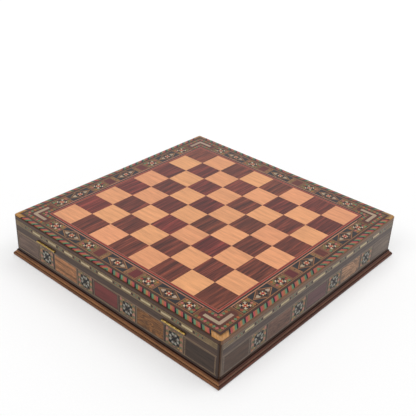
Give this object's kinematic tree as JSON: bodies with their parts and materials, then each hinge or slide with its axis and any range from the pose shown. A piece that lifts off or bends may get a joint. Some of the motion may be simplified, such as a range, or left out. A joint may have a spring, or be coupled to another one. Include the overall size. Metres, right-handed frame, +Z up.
{
  "type": "chess box with drawers",
  "caption": "Low square games box with a fixed inlaid chess board on top, a full-width lined drawer with cells and slim brass pulls on opposite sides, and a moulded base.",
  "frame": {"origin": "middle of the footprint, on the surface the box stands on", "axes": "+Z up, -Y towards the front drawer's side, +X along the front drawer's face, to the right when facing it"},
  "size_m": [0.41, 0.41, 0.072],
  "materials": {
    "walnut": "gloss varnished walnut veneer",
    "rosewood": "gloss varnished red-brown rosewood",
    "moulding_walnut": "satin varnished red-brown walnut",
    "light_veneer": "gloss varnished pinkish light veneer",
    "red_veneer": "gloss varnished red dyed veneer",
    "red_line": "gloss varnished bright red dyed stringing",
    "bone_inlay": "polished bone-coloured inlay",
    "black_veneer": "gloss varnished black dyed veneer",
    "mosaic_ground": "gloss varnished small-tile wood mosaic",
    "diamond_veneer": "gloss varnished mid-brown veneer with light lines",
    "star_mosaic": "gloss varnished star mosaic of bone, black and red pieces",
    "burl": "gloss varnished orange-brown figured veneer",
    "rope_inlay": "gloss varnished slanted green, pink and dark strips",
    "satinwood": "gloss varnished orange-yellow satinwood",
    "core_board": "bare fibreboard core",
    "plywood": "bare birch plywood",
    "beech": "clear oiled beech",
    "divider_wood": "dark stained hardwood strips",
    "felt_green": "dense green wool felt",
    "felt_black": "dense black felt",
    "brass": "polished, lightly worn",
    "screw_steel": "zinc plated"
  },
  "bodies": {
    "case": {"board_core": "core_board", "edge_lipping": "walnut", "light_squares": "light_veneer", "dark_squares": "rosewood", "red_stringing": "red_line", "light_stringing": "bone_inlay", "border_ground": "mosaic_ground", "border_black_panels": "black_veneer", "border_diamonds": "diamond_veneer", "border_red_panels": "red_veneer", "border_rosettes": "star_mosaic", "corner_inlays": "bone_inlay", "rope_banding": "rope_inlay", "corner_chips": "satinwood", "left_wall": "walnut", "right_wall": "walnut", "side_veneers": "walnut", "side_dashes": "bone_inlay", "side_red_panels": "red_veneer", "side_burl_panels": "burl", "side_rosettes": "star_mosaic", "partition": "beech", "base_panel": "plywood", "front_base_rail": "moulding_walnut", "back_base_rail": "moulding_walnut", "left_base_rail": "moulding_walnut", "right_base_rail": "moulding_walnut", "drawer_runners": "beech", "drawer_kickers": "beech", "drawer_stops": "beech", "felt_feet": "felt_black", "base_screws": "screw_steel"},
    "front_drawer": {"front_drawer_front": "walnut", "front_drawer_sides": "beech", "front_drawer_back": "beech", "front_drawer_bottom": "plywood", "front_drawer_felt": "felt_green", "front_row_divider": "divider_wood", "front_cell_dividers": "divider_wood", "front_pulls": "brass", "front_pull_pins": "brass", "front_veneer": "walnut", "front_dashes": "bone_inlay", "front_red_panel": "red_veneer", "front_burl_panels": "burl", "front_rosettes": "star_mosaic"},
    "back_drawer": {"back_drawer_front": "walnut", "back_drawer_sides": "beech", "back_drawer_back": "beech", "back_drawer_bottom": "plywood", "back_drawer_felt": "felt_green", "back_row_divider": "divider_wood", "back_cell_dividers": "divider_wood", "back_pulls": "brass", "back_pull_pins": "brass", "back_veneer": "walnut", "back_dashes": "bone_inlay", "back_red_panel": "red_veneer", "back_burl_panels": "burl", "back_rosettes": "star_mosaic"}
  },
  "joints": [
    {"name": "front_drawer_slide", "type": "slide", "parent": "case", "child": "front_drawer", "axis": [0, -1, 0], "range_m": [0, 0.16]},
    {"name": "back_drawer_slide", "type": "slide", "parent": "case", "child": "back_drawer", "axis": [0, 1, 0], "range_m": [0, 0.16]}
  ]
}
